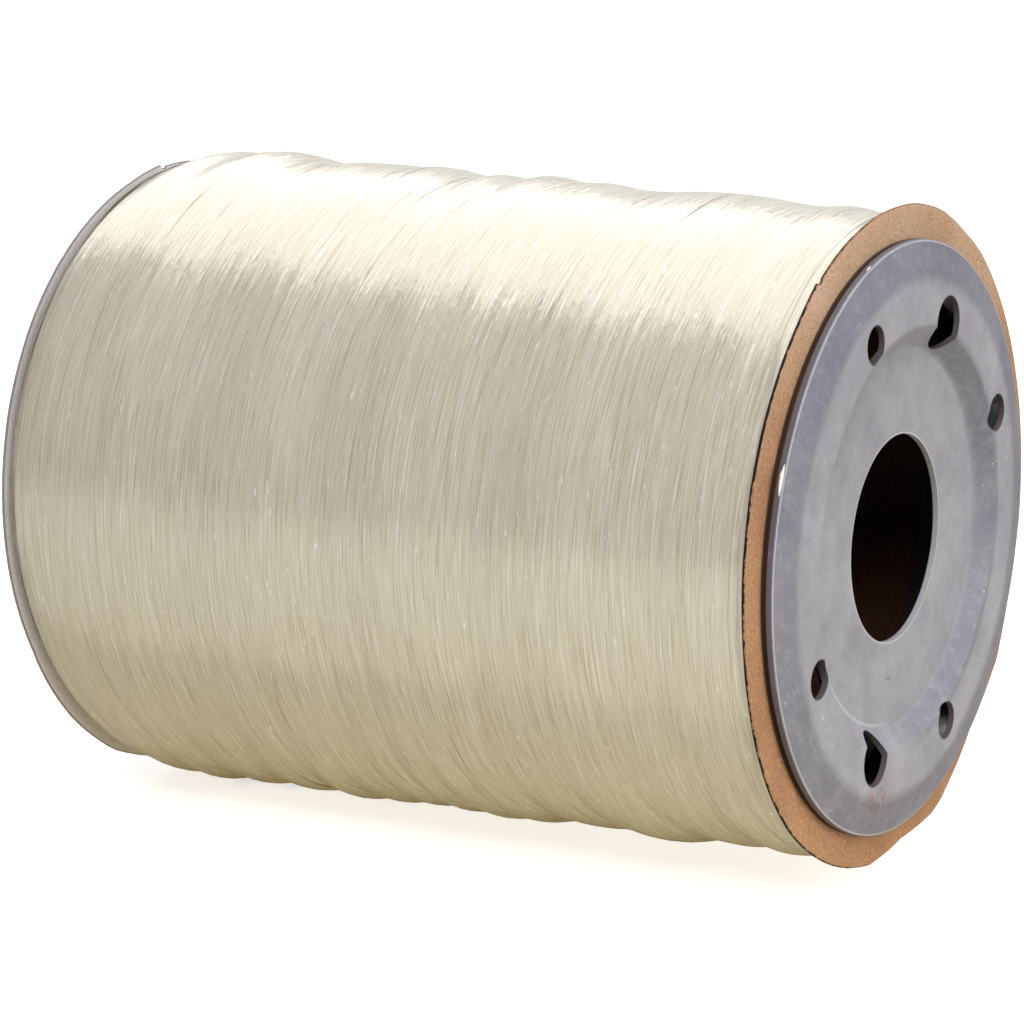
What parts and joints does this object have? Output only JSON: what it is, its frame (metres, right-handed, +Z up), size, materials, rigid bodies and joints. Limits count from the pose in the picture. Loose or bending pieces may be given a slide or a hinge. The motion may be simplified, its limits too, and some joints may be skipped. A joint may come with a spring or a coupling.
{
  "type": "fishing line spool",
  "caption": "Bulk spool of monofilament line on a cardboard core, with card flange discs and moulded plug-in end caps that take a spindle.",
  "frame": {"origin": "middle of the spool on its axis: the centre of the bounding box", "axes": "+X along the spool's axis, out of the front end; +Z up with the spool lying on its side; +Y to the right, seen from the front end"},
  "size_m": [0.2246, 0.172, 0.172],
  "materials": {
    "core_board": "spiral-wound brown board, matt",
    "kraft_card": "kraft liner outside, grey board inside, matt",
    "cap_plastic": "scuffed grey moulded plastic",
    "line_nylon": "clear nylon line, wound"
  },
  "bodies": {
    "spool_body": {"core_tube": "core_board", "front_card_disc": "kraft_card", "rear_card_disc": "kraft_card", "line_package": "line_nylon"},
    "front_cap": {"front_end_cap": "cap_plastic"},
    "rear_cap": {"rear_end_cap": "cap_plastic"}
  },
  "joints": [
    {"name": "front_cap_pull", "type": "slide", "parent": "spool_body", "child": "front_cap", "axis": [1, 0, 0], "range_m": [0, 0.026]},
    {"name": "rear_cap_pull", "type": "slide", "parent": "spool_body", "child": "rear_cap", "axis": [-1, 0, 0], "range_m": [0, 0.026]}
  ]
}
